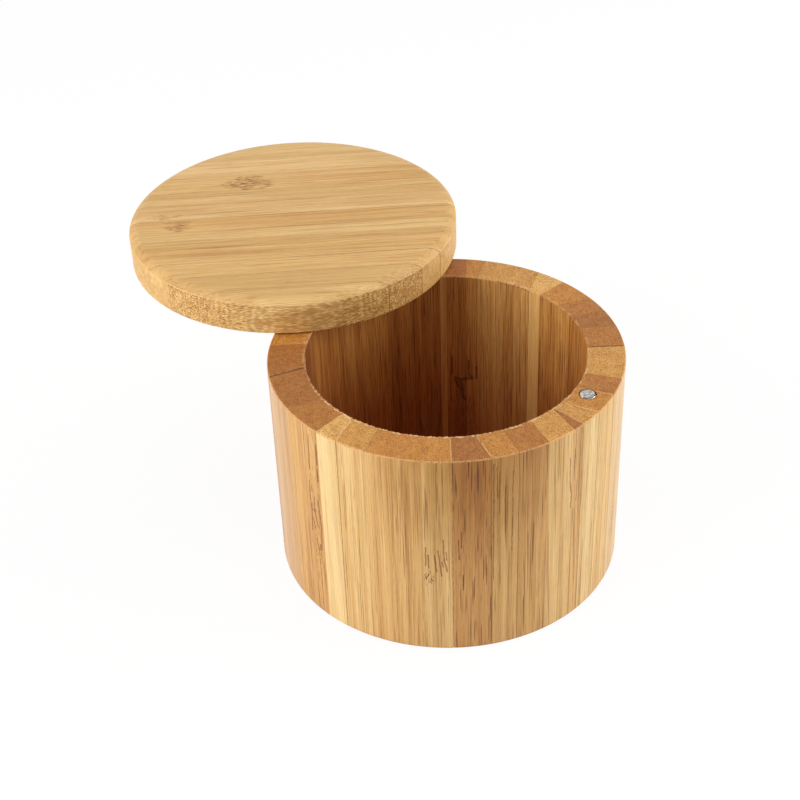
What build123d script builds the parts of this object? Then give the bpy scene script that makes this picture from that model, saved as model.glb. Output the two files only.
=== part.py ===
from build123d import *
import os
from math import cos, radians, sin

# A round bamboo salt box: a ring of glued staves, a glued base let into their feet, and a
# flat lid that swivels on an upright pin. Millimetres and degrees. The origin is the centre
# of the underside, +Z is up, and the lid stands swung open.

# Body
OUTER_DIAMETER = 88.9
BODY_HEIGHT = 59.0
WALL = 9.4
RIM_EASE = 0.5
MOUTH_EASE = 0.4
FOOT_EASE = 0.7

# Base, let into a rebate at the foot of the staves
BASE_THICKNESS = 5.0
BASE_REBATE = 3.0
BASE_STRIP_COUNT = 5
GLUE_GAP = 0.05

# Lid
LID_THICKNESS = 9.8
LID_TOP_ROUND = 3.0
LID_FOOT_EASE = 0.5
LID_GAP = 0.3
LID_GRAIN_ANGLE = 3.0
LID_STRIP_WIDTHS = (6.8, 7.5, 7.2, 8.0, 7.8, 7.5, 7.4, 7.1, 9.2, 9.4, 11.0)

# The pin and the magnets stand on one circle, this far inside the middle of the wall
HARDWARE_INSET = 1.0
PIVOT_ANGLE = 156.1
MAGNET_ANGLE = -32.0
OPEN_ANGLE = 119.3

# Pivot pin, fast in the wall, and the sleeve that turns on it in the lid
PIN_DIAMETER = 4.0
PIN_DEPTH_IN_WALL = 16.0
PIN_END_CLEARANCE = 0.5
PIN_CHAMFER = 0.4
SLEEVE_WALL = 1.0
SLEEVE_RUNNING_CLEARANCE = 0.05
LID_COVER_OVER_PIN = 2.5
SEAT_CLEARANCE = 0.02

# Catch magnets, one in the rim and one in the underside of the lid
MAGNET_DIAMETER = 4.0
MAGNET_THICKNESS = 3.0
MAGNET_EDGE_ROUND = 0.35
MAGNET_CLEARANCE = 0.12
MAGNET_PROUD = 0.1

# Glue joints round the rim: each is (angle at the outer wall, angle at the inner wall).
# The slant differs from stave to stave, and two narrow slips make up the round.
STAVE_JOINTS_DEG = (
    (-1, -1), (10.5, 12.5), (20.5, 23), (29.5, 32.5), (43, 43), (53.5, 49), (63.5, 62.5), (73, 73.5),
    (80, 78.5), (88, 87.5), (90, 90), (101, 102.5), (113, 114.5), (125, 127), (138, 138),
    (150, 149), (162, 162), (173, 171), (181.5, 178), (191, 188), (201.5, 203.5), (209, 211.5),
    (217, 217.5), (224.5, 224), (232.5, 229), (242.5, 241), (251, 250.5), (260, 260), (269, 269),
    (281, 278.5), (289.5, 289.5), (299.5, 301.5), (309.5, 313), (313.5, 313.5), (321.5, 318), (331.5, 330),
    (340.5, 340.5), (350.5, 352.5),
)

outer_radius = OUTER_DIAMETER / 2
inner_radius = outer_radius - WALL
base_seat_radius = inner_radius + BASE_REBATE
base_radius = base_seat_radius - GLUE_GAP
hardware_radius = outer_radius - WALL / 2 - HARDWARE_INSET
lid_bottom = BODY_HEIGHT + LID_GAP
lid_top = lid_bottom + LID_THICKNESS
sleeve_length = LID_THICKNESS - LID_COVER_OVER_PIN
sleeve_bore_radius = PIN_DIAMETER / 2 + SLEEVE_RUNNING_CLEARANCE
sleeve_radius = sleeve_bore_radius + SLEEVE_WALL
magnet_seat_radius = MAGNET_DIAMETER / 2 + MAGNET_CLEARANCE
magnet_seat_depth = MAGNET_THICKNESS - MAGNET_PROUD
pocket_overrun = WALL / 4


def on_circle(radius, angle):
    """The point at this radius and angle in plan."""
    return Vector(radius * cos(radians(angle)), radius * sin(radians(angle)))


def upright(radius, bottom, top, centre):
    """An upright cylinder between two heights."""
    return Pos(centre.X, centre.Y, bottom) * Cylinder(
        radius, top - bottom, align=(Align.CENTER, Align.CENTER, Align.MIN)
    )


pivot = on_circle(hardware_radius, PIVOT_ANGLE)
catch = on_circle(hardware_radius, MAGNET_ANGLE)


def swung_open(shape):
    """A lid piece carried from the closed lid to the open one, about the pin."""
    return shape.rotate(Axis((pivot.X, pivot.Y, 0), (0, 0, 1)), OPEN_ANGLE)


def ring_section():
    """The wall's section: eased at the rim and the foot, and rebated for the base."""
    outline = Plane.XZ * make_face(
        Polyline(
            (base_seat_radius, 0),
            (outer_radius, 0),
            (outer_radius, BODY_HEIGHT),
            (inner_radius, BODY_HEIGHT),
            (inner_radius, BASE_THICKNESS),
            (base_seat_radius, BASE_THICKNESS),
            close=True,
        )
    )
    eases = (
        (outer_radius, 0, FOOT_EASE),
        (outer_radius, BODY_HEIGHT, RIM_EASE),
        (inner_radius, BODY_HEIGHT, MOUTH_EASE),
    )
    for radius, height, ease in eases:
        corner = outline.vertices().sort_by_distance((radius, 0, height))[0]
        outline = fillet(corner, ease)
    return outline


def stave_ring():
    """The whole glued wall, drilled for the pin and the catch magnet."""
    ring = revolve(ring_section(), Axis.Z, 360)
    ring -= upright(
        PIN_DIAMETER / 2 + SEAT_CLEARANCE,
        BODY_HEIGHT - PIN_DEPTH_IN_WALL,
        BODY_HEIGHT + pocket_overrun,
        pivot,
    )
    ring -= upright(
        magnet_seat_radius, BODY_HEIGHT - magnet_seat_depth, BODY_HEIGHT + pocket_overrun, catch
    )
    return ring


def stave_wedge(joint, next_joint):
    """The upright wedge of space between two glue joints."""
    corners = []
    for outer_angle, inner_angle in (joint, next_joint):
        outer = on_circle(outer_radius, outer_angle)
        inner = on_circle(inner_radius, inner_angle)
        along = (outer - inner).normalized()
        corners.append((inner - along * GLUE_GAP, outer + along * WALL))
    (near, far), (next_near, next_far) = corners
    outline = make_face(Polyline(near, far, next_far, next_near, close=True))
    return extrude(outline, BODY_HEIGHT)


def strips(board, radius, widths, grain_angle):
    """A round board cut into strips along the grain, in these proportions across it."""
    share = 2 * radius / sum(widths)
    low = -radius
    cut = []
    for width in widths:
        high = low + width * share
        slab = Pos(0, (low + high) / 2) * Box(2 * OUTER_DIAMETER, high - low, 2 * lid_top)
        cut.append(board & (Rot(0, 0, grain_angle) * slab))
        low = high
    return cut


def lid_board():
    """The closed lid: a disc with a rounded top edge, pocketed for the sleeve and the magnet."""
    board = upright(outer_radius, lid_bottom, lid_top, Vector(0, 0))
    rims = board.edges().filter_by(GeomType.CIRCLE).sort_by(Axis.Z)
    board = fillet(rims[-1], LID_TOP_ROUND)
    board = fillet(board.edges().filter_by(GeomType.CIRCLE).sort_by(Axis.Z)[0], LID_FOOT_EASE)
    board -= upright(
        sleeve_radius + SEAT_CLEARANCE, lid_bottom - pocket_overrun, lid_bottom + sleeve_length, pivot
    )
    board -= upright(
        magnet_seat_radius, lid_bottom - pocket_overrun, lid_bottom + MAGNET_THICKNESS + MAGNET_PROUD, catch
    )
    return board


def magnet(bottom):
    """A plated disc magnet with rounded edges."""
    disc = upright(MAGNET_DIAMETER / 2, bottom, bottom + MAGNET_THICKNESS, catch)
    return fillet(disc.edges().filter_by(GeomType.CIRCLE), MAGNET_EDGE_ROUND)


def pivot_pin():
    """A plain steel pin with both ends chamfered."""
    top = lid_bottom + sleeve_length - PIN_END_CLEARANCE
    pin = upright(PIN_DIAMETER / 2, BODY_HEIGHT - PIN_DEPTH_IN_WALL, top, pivot)
    return chamfer(pin.edges().filter_by(GeomType.CIRCLE), PIN_CHAMFER)


def pivot_sleeve():
    """A thin sleeve set in the lid, flush with its underside."""
    body = upright(sleeve_radius, lid_bottom, lid_bottom + sleeve_length, pivot)
    return body - upright(sleeve_bore_radius, lid_bottom, lid_bottom + sleeve_length, pivot)


def build():
    """Every piece of the salt box, by name."""
    pieces = {}
    ring = stave_ring()
    joints = [*STAVE_JOINTS_DEG, STAVE_JOINTS_DEG[0]]
    for number, (joint, next_joint) in enumerate(zip(joints, joints[1:]), start=1):
        pieces[f"stave_{number:02d}"] = ring & stave_wedge(joint, next_joint)

    base = upright(base_radius, 0, BASE_THICKNESS, Vector(0, 0))
    base_strips = strips(base, base_radius, [1] * BASE_STRIP_COUNT, 0)
    for number, strip in enumerate(base_strips, start=1):
        pieces[f"base_strip_{number}"] = strip

    closed_grain = LID_GRAIN_ANGLE - OPEN_ANGLE
    lid_strips = strips(lid_board(), outer_radius, LID_STRIP_WIDTHS, closed_grain)
    for number, strip in enumerate(lid_strips, start=1):
        pieces[f"lid_strip_{number:02d}"] = swung_open(strip)

    pieces["pivot_pin"] = pivot_pin()
    pieces["pivot_sleeve"] = swung_open(pivot_sleeve())
    pieces["rim_magnet"] = magnet(BODY_HEIGHT - magnet_seat_depth)
    pieces["lid_magnet"] = swung_open(magnet(lid_bottom + MAGNET_PROUD))
    return pieces


os.makedirs("parts", exist_ok=True)
for name, piece in build().items():
    export_step(piece, f"parts/{name}.step")
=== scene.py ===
"""A round bamboo salt box: its staves, base, swivel lid and ironmongery, dressed for the studio."""
from __future__ import annotations

import logging
import math
from collections.abc import Callable, Iterable
from dataclasses import dataclass, field, replace
from enum import Enum
from random import Random

import bmesh
import bpy
from mathutils import Euler, Matrix, Vector


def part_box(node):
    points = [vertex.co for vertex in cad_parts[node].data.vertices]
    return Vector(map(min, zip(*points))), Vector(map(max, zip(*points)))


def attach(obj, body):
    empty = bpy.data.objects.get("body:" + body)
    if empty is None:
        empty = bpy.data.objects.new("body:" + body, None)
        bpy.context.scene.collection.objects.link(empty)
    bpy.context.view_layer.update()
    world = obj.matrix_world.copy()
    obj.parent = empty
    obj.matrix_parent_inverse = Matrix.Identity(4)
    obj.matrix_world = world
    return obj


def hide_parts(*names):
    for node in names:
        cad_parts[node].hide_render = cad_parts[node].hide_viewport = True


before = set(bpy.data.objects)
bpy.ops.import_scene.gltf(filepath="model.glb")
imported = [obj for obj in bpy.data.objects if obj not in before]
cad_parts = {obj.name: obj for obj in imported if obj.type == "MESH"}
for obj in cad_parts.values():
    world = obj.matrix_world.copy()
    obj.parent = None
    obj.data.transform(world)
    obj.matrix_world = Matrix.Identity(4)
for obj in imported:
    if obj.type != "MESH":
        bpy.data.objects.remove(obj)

LOG = logging.getLogger("salt_box")
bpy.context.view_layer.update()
MM = 0.001
Rgb = tuple[int, int, int]


def linear(colour: Rgb) -> tuple[float, float, float, float]:
    """Turn an 8-bit screen colour into the linear colour that a shader takes.

    Args:
        colour: Red, green and blue, 0 to 255.

    Returns:
        The linear red, green and blue, and an alpha of 1.
    """
    def channel(value: int) -> float:
        """One channel from screen to linear."""
        share = value / 255
        return share / 12.92 if share <= 0.04045 else ((share + 0.055) / 1.055) ** 2.4

    return (*(channel(value) for value in colour), 1.0)


# --------------------------------------------------------------------------- tones and finishes


@dataclass(frozen=True)
class Timber:
    """One bamboo colour on long grain: the pale wood and its warmer bands."""

    wood: Rgb
    band: Rgb


class Tone(Enum):
    """The bamboo colours that are sorted and glued up side by side."""

    IVORY = Timber((220, 194, 158), (210, 180, 141))
    SAND = Timber((219, 187, 138), (208, 171, 122))
    WHEAT = Timber((231, 192, 133), (215, 173, 113))
    GOLD = Timber((236, 192, 120), (224, 174, 102))
    CREAM = Timber((230, 198, 141), (218, 182, 122))
    STRAW = Timber((223, 185, 124), (208, 166, 104))
    HONEY = Timber((216, 173, 110), (200, 153, 90))
    BARLEY = Timber((221, 179, 116), (206, 160, 96))
    ROSE = Timber((203, 164, 118), (192, 149, 102))
    BLUSH = Timber((206, 171, 133), (197, 159, 119))
    TAN = Timber((209, 164, 101), (194, 145, 83))
    CHESTNUT = Timber((200, 150, 88), (182, 129, 71))
    RUSSET = Timber((188, 138, 80), (168, 116, 62))
    UMBER = Timber((164, 112, 62), (144, 90, 46))
    COCOA = Timber((142, 86, 46), (120, 66, 32))


class End(Enum):
    """How deep the finish has soaked into sawn end grain."""

    PALE = (224, 176, 104)
    LIGHT = (208, 155, 83)
    MIDDLE = (196, 136, 63)
    WARM = (179, 119, 54)
    DEEP = (167, 108, 49)
    DRY = (214, 174, 111)


class Glue(Enum):
    """How a glue line reads: its colour from above, its colour on the side and its width in mm."""

    PALE = ((238, 196, 134), (196, 152, 98), 0.12)
    SPLIT = ((238, 196, 134), (84, 46, 22), 0.13)
    GAP = ((84, 34, 16), (150, 100, 60), 0.18)
    TIGHT = ((182, 130, 78), (196, 148, 92), 0.03)
    HAIR = ((150, 100, 56), (112, 70, 40), 0.05)
    SEAM = ((170, 120, 70), (70, 38, 20), 0.08)
    DARK = ((84, 46, 24), (140, 94, 54), 0.13)


class Graph:
    """Lays out the nodes of one shader tree."""

    def __init__(self, tree: bpy.types.NodeTree) -> None:
        """Start on an empty tree."""
        self.tree = tree
        self.tree.nodes.clear()

    def node(self, kind: str, **settings: object) -> bpy.types.Node:
        """Add a node.

        Args:
            kind: Its type.
            settings: Its properties, by name.

        Returns:
            The node.
        """
        made = self.tree.nodes.new(kind)
        for key, value in settings.items():
            setattr(made, key, value)
        return made

    def link(self, source: bpy.types.NodeSocket, target: bpy.types.NodeSocket) -> None:
        """Join two sockets."""
        self.tree.links.new(source, target)

    def fill(self, sockets: Iterable[bpy.types.NodeSocket], values: Iterable) -> None:
        """Link each socket whose value is a socket too, and set the others.

        Args:
            sockets: The sockets.
            values: As many values.
        """
        for socket, value in zip(sockets, values):
            if isinstance(value, bpy.types.NodeSocket):
                self.link(value, socket)
            else:
                socket.default_value = value

    def feed(self, made: bpy.types.Node, **values: object) -> None:
        """Fill a node's inputs by name, with an underscore where the name has a space."""
        self.fill((made.inputs[key.replace("_", " ")] for key in values), values.values())

    def math(self, operation: str, *values: object, clamp: bool = False) -> bpy.types.NodeSocket:
        """One arithmetic step.

        Args:
            operation: What it does.
            values: What it does it to.
            clamp: Whether the result is kept from 0 to 1.

        Returns:
            The result.
        """
        made = self.node("ShaderNodeMath", operation=operation, use_clamp=clamp)
        self.fill(made.inputs, values)
        return made.outputs[0]

    def times(self, first: object, *others: object) -> bpy.types.NodeSocket:
        """The product of two or more numbers.

        Args:
            first: The first number.
            others: The others.

        Returns:
            The product.
        """
        for other in others:
            first = self.math("MULTIPLY", first, other)
        return first

    def most(self, first: object, second: object) -> object:
        """The larger of two values, if there are two."""
        return second if first is None else self.math("MAXIMUM", first, second)

    def vector(self, operation: str, *values: object, output: str = "Vector") -> bpy.types.NodeSocket:
        """One step of vector arithmetic.

        Args:
            operation: What it does.
            values: What it does it to.
            output: Which result is wanted.

        Returns:
            The result.
        """
        made = self.node("ShaderNodeVectorMath", operation=operation)
        self.fill(made.inputs, values)
        return made.outputs[output]

    def length(self, vector: object) -> bpy.types.NodeSocket:
        """How long a vector is."""
        return self.vector("LENGTH", vector, output="Value")

    def dot(self, first: object, second: object) -> bpy.types.NodeSocket:
        """How far one vector runs along another."""
        return self.vector("DOT_PRODUCT", first, second, output="Value")

    def scaled(self, vector: object, amount: object) -> bpy.types.NodeSocket:
        """A vector times a number.

        Args:
            vector: The vector.
            amount: The number.

        Returns:
            The longer or shorter vector.
        """
        made = self.node("ShaderNodeVectorMath", operation="SCALE")
        self.feed(made, Vector=vector, Scale=amount)
        return made.outputs[0]

    def stretch(self, place: object, across: float, length: float) -> bpy.types.NodeSocket:
        """Scale a place so that a pattern is this wide across the grain and this long along it."""
        return self.vector("MULTIPLY", place, (1 / across, 1 / across, 1 / length))

    def parts(self, place: object) -> bpy.types.bpy_prop_collection:
        """Take a place apart.

        Args:
            place: The place.

        Returns:
            Its X, Y and Z, by name.
        """
        made = self.node("ShaderNodeSeparateXYZ")
        self.feed(made, Vector=place)
        return made.outputs

    def ramp(self, value: object, start: float, end: float, low: float = 0.0,
             high: float = 1.0) -> bpy.types.NodeSocket:
        """Ease a value from low to high as it goes from start to end.

        Args:
            value: The socket to read.
            start: Where the ease starts.
            end: Where it ends; it may be below start.
            low: The result at start.
            high: The result at end.

        Returns:
            The eased value.
        """
        made = self.node("ShaderNodeMapRange", interpolation_type="SMOOTHSTEP")
        if start > end:
            start, end, low, high = end, start, high, low
        self.feed(made, Value=value, From_Min=start, From_Max=end, To_Min=low, To_Max=high)
        return made.outputs["Result"]

    def blend(self, share: object, first: object, second: object,
              mode: str = "MIX") -> bpy.types.NodeSocket:
        """Mix two colours.

        Args:
            share: How much of the second goes in.
            first: The first colour.
            second: The second colour.
            mode: How they mix.

        Returns:
            The mixed colour.
        """
        made = self.node("ShaderNodeMix", data_type="RGBA", blend_type=mode, clamp_factor=True)
        self.fill((made.inputs["Factor"], made.inputs[6], made.inputs[7]), (share, first, second))
        return made.outputs[2]

    def tinted(self, colour: object, share: object, tint: object) -> bpy.types.NodeSocket:
        """Multiply a colour by a tint, by this share."""
        return self.blend(share, colour, tint, "MULTIPLY")

    def noise(self, place: object, scale: float = 1.0, detail: float = 2.0, roughness: float = 0.5,
              output: str = "Fac") -> bpy.types.NodeSocket:
        """Smooth noise, about 0.5 on average.

        Args:
            place: Where it is read.
            scale: How many of its clouds go in one unit.
            detail: How many finer clouds lie in each.
            roughness: How strong the finer clouds are.
            output: Fac for a number, Color for three of them.

        Returns:
            The noise.
        """
        made = self.node("ShaderNodeTexNoise", noise_dimensions="3D")
        self.feed(made, Vector=place, Scale=scale, Detail=detail, Roughness=roughness)
        return made.outputs[output]

    def cells(self, place: object, dimensions: str, scatter: float) -> bpy.types.Node:
        """Lay out cells one unit apart.

        Args:
            place: Where they are read.
            dimensions: 3D for grains, 2D for rods.
            scatter: How far their hearts stray from even rows.

        Returns:
            The node, with the distance to the nearest heart and a colour for each cell.
        """
        made = self.node("ShaderNodeTexVoronoi", voronoi_dimensions=dimensions, feature="F1")
        self.feed(made, Vector=place, Scale=1.0, Randomness=scatter)
        return made

    def seen(self) -> bpy.types.NodeSocket:
        """Tell the rays that look from the rays that light.

        Returns:
            One for a ray from the camera, straight or by way of metal or glass, and 0 for the rest.
        """
        path = self.node("ShaderNodeLightPath")
        looking = path.outputs["Is Camera Ray"]
        for ray in ("Is Glossy Ray", "Is Transmission Ray"):
            looking = self.most(looking, path.outputs[ray])
        return looking

    def either(self, share: object, first: bpy.types.NodeSocket, second: bpy.types.NodeSocket,
               output: bpy.types.Node) -> None:
        """Send a mix of two shaders to the output.

        Args:
            share: How much of the second goes in.
            first: The first shader.
            second: The second shader.
            output: The output node.
        """
        mix = self.node("ShaderNodeMixShader")
        self.fill(mix.inputs, (share, first, second))
        self.link(mix.outputs[0], output.inputs["Surface"])


class Surface(Graph):
    """The graph of one material: a Principled shader, and the place and normal that its patterns read."""

    FLAT = (1, 1, 0)

    def __init__(self, name: str) -> None:
        """Start a material.

        Args:
            name: The material's name.
        """
        self.material = bpy.data.materials.new(name)
        self.material.use_nodes = True
        super().__init__(self.material.node_tree)
        self.shader = self.node("ShaderNodeBsdfPrincipled")
        self.output = self.node("ShaderNodeOutputMaterial")
        self.link(self.shader.outputs["BSDF"], self.output.inputs["Surface"])
        coordinates = self.node("ShaderNodeTexCoord")
        self.place = coordinates.outputs["Object"]
        self.normal = coordinates.outputs["Normal"]

    def facing(self, axis: tuple[float, float, float] = (0, 0, 1)) -> bpy.types.NodeSocket:
        """How much the surface faces along an axis: 1 straight along it, 0 side on."""
        return self.dot(self.normal, axis)

    def outward(self) -> bpy.types.NodeSocket:
        """How much the surface faces away from the middle of the box: -1 on the cavity wall."""
        heading = self.vector("NORMALIZE", self.vector("MULTIPLY", self.place, self.FLAT))
        return self.dot(heading, self.normal)

    def finish(self, colour: object, roughness: object, height: object, depth: float) -> bpy.types.Material:
        """Wire the colour, the gloss and the relief into the shader.

        Args:
            colour: The base colour.
            roughness: The roughness.
            height: The relief, from 0 to 1.
            depth: How deep the relief is, in metres.

        Returns:
            The finished material.
        """
        bump = self.node("ShaderNodeBump")
        self.feed(bump, Strength=1.0, Distance=depth, Height=height)
        self.feed(self.shader, Base_Color=colour, Roughness=roughness, Normal=bump.outputs["Normal"])
        return self.material


@dataclass(frozen=True)
class Knuckle:
    """A growth ring of the culm, where the fibres tangle. Lengths are in millimetres."""

    place: Vector
    across: float
    along: float
    swirl: float = 1.0
    stain: float = 0.4
    tangle: float = 0.0


@dataclass(frozen=True)
class Stroke:
    """A dark fibre or split in the wood, straight from one place to another, this wide in millimetres."""

    start: Vector
    end: Vector
    width: float
    share: float


@dataclass(frozen=True)
class ShadeZone:
    """A soft zone of painted brown shade on upright faces. Lengths are in millimetres."""

    place: Vector
    reach: float
    drop: float
    amount: float


@dataclass(frozen=True)
class Bamboo:
    """Sanded and oiled bamboo: how one piece's fibres run, and the marks that it bears."""

    tone: Tone
    end: End
    grain: Euler
    seed: int
    spacing: float = 0.85
    streak: float = 0.55
    hairs: float = 0.5
    fine: float = 0.7
    dots: float = 0.55
    band: float = 2.6
    flecks: float = 0.0
    lean: float = 1.4
    knuckles: tuple[Knuckle, ...] = ()
    strokes: tuple[Stroke, ...] = ()
    ragged: float = 1.0
    # Where brown shade is painted on the upright faces, if anywhere.
    shade_zone: ShadeZone | None = None
    # The magnet whose seat gets a ring of painted shade, if any.
    seat: Vector | None = None
    # How far up the edge the wear and the painted highlight reach.
    worn_highlight_to: float = 0.92
    cavity: tuple[float, float, float] | None = None
    # How strong the painted shade on the cavity wall is.
    cavity_shade: float = 1.0

    def material(self, name: str) -> bpy.types.Material:
        """Make the wood."""
        return BambooSurface(name, self).dress()


class BambooSurface(Surface):
    """The wood of one piece, grown along its fibres and then tinted layer by layer.

    The same rods of fibre show as dots on end grain and as streaks on long grain, as in the
    real wood, because the pattern is solid and only the cut changes. Patterns are laid out in
    millimetres.
    """

    FIBRE_TINT = (0.30, 0.18, 0.09, 1.0)
    HAIR_TINT = (0.58, 0.42, 0.27, 1.0)
    SHADE_TINT = (0.80, 0.70, 0.56, 1.0)
    SHINE_TINT = (1.14, 1.17, 1.20, 1.0)
    GRIT_TINT = (0.84, 0.76, 0.66, 1.0)
    END_BAND_TINT = (0.90, 0.84, 0.74, 1.0)
    END_SHADE_TINT = (0.84, 0.72, 0.58, 1.0)
    END_SHINE_TINT = (1.12, 1.14, 1.16, 1.0)
    DOT_TINT = (0.42, 0.27, 0.13, 1.0)
    STAIN_TINT = (0.62, 0.42, 0.28, 1.0)
    STROKE_TINT = (0.30, 0.13, 0.08, 1.0)
    GAP_TINT = (0.80, 0.70, 0.52, 1.0)
    DASH_TINT = (1.25, 1.34, 1.45, 1.0)
    # The tint of the painted brown shade on upright faces.
    ZONE_SHADE_TINT = (0.64, 0.50, 0.25, 1.0)
    # The tint of the painted shade in the gap round a magnet's seat.
    SEAT_SHADE_TINT = (0.30, 0.26, 0.22, 1.0)
    # Painted shade on the cavity wall: the tint at the mouth, at the floor and in its streaks.
    MOUTH_SHADE_TINT = (0.98, 0.84, 0.60, 1.0)
    FOOT_SHADE_TINT = (0.68, 0.37, 0.21, 1.0)
    RUN_SHADE_TINT = (0.52, 0.36, 0.24, 1.0)
    # The colour of the worn edge with its painted highlight.
    HANDLED_HIGHLIT_WOOD = (234, 186, 124)
    TORN_WOOD = (233, 188, 134)
    TANGLE_SLANTS = (16, -24)
    # Where the painted shade round a magnet's seat starts and ends.
    SEAT_SHADE_RING = (2.40 * MM, 2.12 * MM)
    STROKE_SHAKE = 0.55 * MM
    FRONT = -24 * MM
    RELIEF = 0.035 * MM

    def __init__(self, name: str, wood: Bamboo) -> None:
        """Grow the bare wood.

        Args:
            name: The material's name.
            wood: How the piece looks.
        """
        super().__init__(name)
        self.wood = wood
        draw = Random(wood.seed)
        dip = math.radians(draw.choice((-1, 1)) * wood.lean * draw.uniform(0.7, 1.3))
        stray = math.radians(draw.uniform(-0.4, 0.4))
        self.turn = Euler((stray, dip, 0)).to_matrix() @ wood.grain.to_matrix().transposed()
        self.origin = Vector([draw.uniform(-400, 400) for _ in range(3)])
        self.along = self._laid(self.turn, self.origin)
        self.fibres = self.vector("ADD", self.along, self._drift(12.0, 110.0, (0.5, 0.16)))
        self.hearts = [self._swirled(knuckle) for knuckle in wood.knuckles]
        self.lines = self.noise(self.stretch(self.fibres, 0.27, 32.0), detail=3, roughness=0.66)
        self.bands = self.noise(self.stretch(self.fibres, wood.band, 130.0))
        self.colour = self.blend(self._end_grain(), self._long_grain(), self._cross_grain())

    def dress(self) -> bpy.types.Material:
        """Tint the bare wood with its marks, painted shade and a painted highlight, and finish it.

        Returns:
            The material.
        """
        wood = self.wood
        layers = (
            (wood.knuckles, self._knuckled), (wood.flecks, self._flecked), (wood.shade_zone, self._zone_shaded),
            (wood.cavity, self._cavity_shaded), (wood.strokes, self._stroked), (wood.seat, self._seat_shaded),
            (True, self._worn_and_highlit), (wood.cavity, self._torn),
        )
        for wanted, layer in layers:
            if wanted:
                layer()
        self.feed(self.shader, Specular_IOR_Level=0.4)
        return self.finish(self.colour, self.ramp(self.lines, 0.2, 0.8, 0.46, 0.62), self.lines, self.RELIEF)

    def _tint(self, share: object, tint: object) -> None:
        """Multiply the colour so far by a tint, by this share."""
        self.colour = self.tinted(self.colour, share, tint)

    def _laid(self, turn: Matrix, origin: Vector) -> bpy.types.NodeSocket:
        """The place in millimetres, turned so that the grain runs along Z.

        Args:
            turn: The turn from the piece to the grain.
            origin: Where the pattern starts.

        Returns:
            The place along the grain.
        """
        place = self.node("ShaderNodeMapping", vector_type="POINT")
        self.feed(place, Vector=self.place, Scale=(1 / MM,) * 3, Rotation=turn.to_euler("XYZ"),
                  Location=origin)
        return place.outputs["Vector"]

    def _drift(self, across: float, length: float, amount: tuple[float, float]) -> bpy.types.NodeSocket:
        """The sideways drift of the fibres.

        Args:
            across: How wide a bend is.
            length: How long a bend is.
            amount: How far the fibres stray, each way across.

        Returns:
            The drift, in millimetres.
        """
        cloud = self.noise(self.stretch(self.along, across, length), detail=1, output="Color")
        centred = self.vector("SUBTRACT", cloud, (0.5, 0.5, 0.5))
        return self.vector("MULTIPLY", centred, (2 * amount[0], 2 * amount[1], 0.0))

    def _swirled(self, knuckle: Knuckle) -> bpy.types.NodeSocket:
        """Let the fibres swirl round a knuckle.

        Args:
            knuckle: The knuckle.

        Returns:
            One at its heart, fading away round it with a ragged edge.
        """
        heart = self.turn @ (knuckle.place / MM) + self.origin
        offset = self.vector("SUBTRACT", self.along, tuple(heart))
        away = self.length(self.vector("DIVIDE", offset, (knuckle.across, knuckle.across, knuckle.along)))
        ragged = self.ramp(self.noise(self.stretch(self.along, 0.9, 3.0)), 0.3, 0.7, -0.3, 0.3)
        mask = self.ramp(self.math("ADD", away, ragged), 1.0, 0.35)
        drift = self._drift(1.3, 3.4, (3 * knuckle.swirl, 3 * knuckle.swirl))
        self.fibres = self.vector("ADD", self.fibres, self.scaled(drift, mask))
        return mask

    def _rods(self, place: object, spacing: float, radius: float, scatter: float) -> bpy.types.NodeSocket:
        """Rods of fibre along the grain, some stronger than others.

        Args:
            place: The place along the grain.
            spacing: How far apart the rods are.
            radius: How thick they are, as a share of the spacing.
            scatter: How far they stray from even rows, as a share of the spacing.

        Returns:
            How much each point belongs to a rod.
        """
        cells = self.cells(self.stretch(place, spacing, 1.0), "2D", scatter)
        rods = self.ramp(cells.outputs["Distance"], radius * 1.1, radius * 0.8)
        split = self.node("ShaderNodeSeparateColor")
        self.feed(split, Color=cells.outputs["Color"])
        return self.times(rods, self.ramp(split.outputs[0], 0.1, 0.7, 0.4, 1.0))

    def _end_grain(self) -> bpy.types.NodeSocket:
        """One where the surface is cut across the grain.

        Returns:
            How much each point shows end grain.
        """
        axis = self.wood.grain.to_matrix() @ Vector((0, 0, 1))
        share = self.ramp(self.math("ABSOLUTE", self.facing(tuple(axis))), 0.10, 0.34)
        if abs(axis.z) > 0.5:
            return share
        return self.times(share, self.ramp(self.facing(), 0.95, 0.45))

    def _long_grain(self) -> object:
        """The colour where the surface runs along the fibres.

        Returns:
            The colour.
        """
        tone, fine = self.wood.tone.value, self.wood.fine
        colour = self.blend(self.ramp(self.bands, 0.36, 0.64), linear(tone.wood), linear(tone.band))
        colour = self.tinted(colour, self.ramp(self.lines, 0.49, 0.36, 0.0, fine), self.SHADE_TINT)
        colour = self.tinted(colour, self.ramp(self.lines, 0.52, 0.64, 0.0, fine), self.SHINE_TINT)
        grit = self.noise(self.stretch(self.fibres, 0.15, 3.0), detail=1)
        colour = self.tinted(colour, self.ramp(grit, 0.50, 0.68, 0.0, fine), self.GRIT_TINT)
        veins = self.noise(self.stretch(self.fibres, 1.0, 190.0), detail=1, roughness=0.4)
        fading = self.noise(self.stretch(self.fibres, 0.8, 26.0), detail=1)
        for level, tint in ((0.5, self.HAIR_TINT), (0.59, self.SHINE_TINT)):
            away = self.math("ABSOLUTE", self.math("SUBTRACT", veins, level))
            vein = self.times(self.ramp(away, 0.050, 0.015),
                              self.ramp(fading, 0.38, 0.56, 0.1, self.wood.hairs))
            colour = self.tinted(colour, vein, tint)
        bundles = self._rods(self.fibres, self.wood.spacing, 0.115 / self.wood.spacing, 0.9)
        breaks = self.noise(self.stretch(self.fibres, 0.9, 12.0), detail=1)
        share = self.times(bundles, self.ramp(breaks, 0.42, 0.52, 0.0, self.wood.streak))
        return self.tinted(colour, share, self.FIBRE_TINT)

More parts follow.
